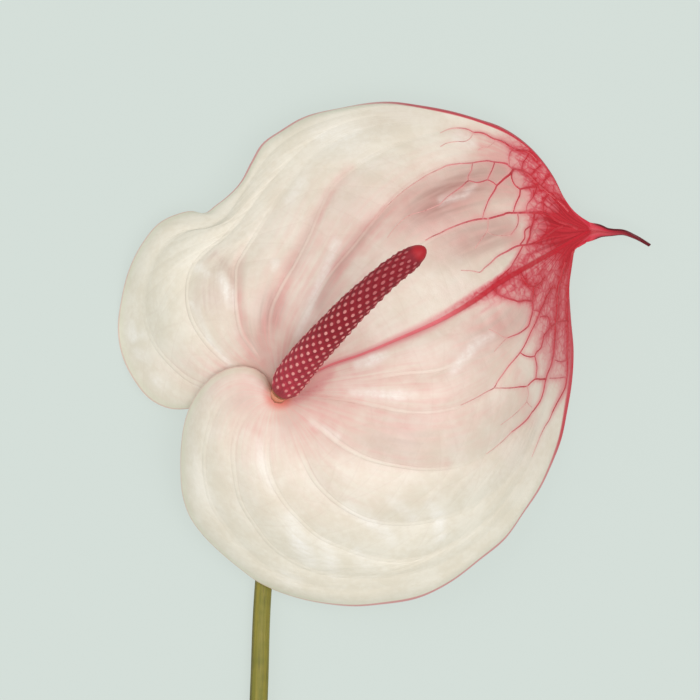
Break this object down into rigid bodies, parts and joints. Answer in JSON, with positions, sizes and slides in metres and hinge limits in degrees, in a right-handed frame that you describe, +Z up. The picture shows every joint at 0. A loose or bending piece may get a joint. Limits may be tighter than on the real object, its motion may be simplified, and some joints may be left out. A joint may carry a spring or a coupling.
{
  "type": "cut anthurium stem",
  "caption": "Cut anthurium lying on a surface, with a heart-shaped cream and pink spathe, a dark red spadix and a long olive stem.",
  "frame": {"origin": "centre of the bounding box on the surface that the flower lies on", "axes": "+Y from the cut end towards the flower, +Z up, out of the spathe's face, and +X towards the spathe's tail"},
  "size_m": [0.1445, 0.3802, 0.0698],
  "materials": {
    "spathe": "satin",
    "spadix": "satin",
    "stem": "satin"
  },
  "bodies": {
    "root": {"spathe": "spathe", "spadix": "spadix", "stem": "stem"}
  },
  "joints": []
}
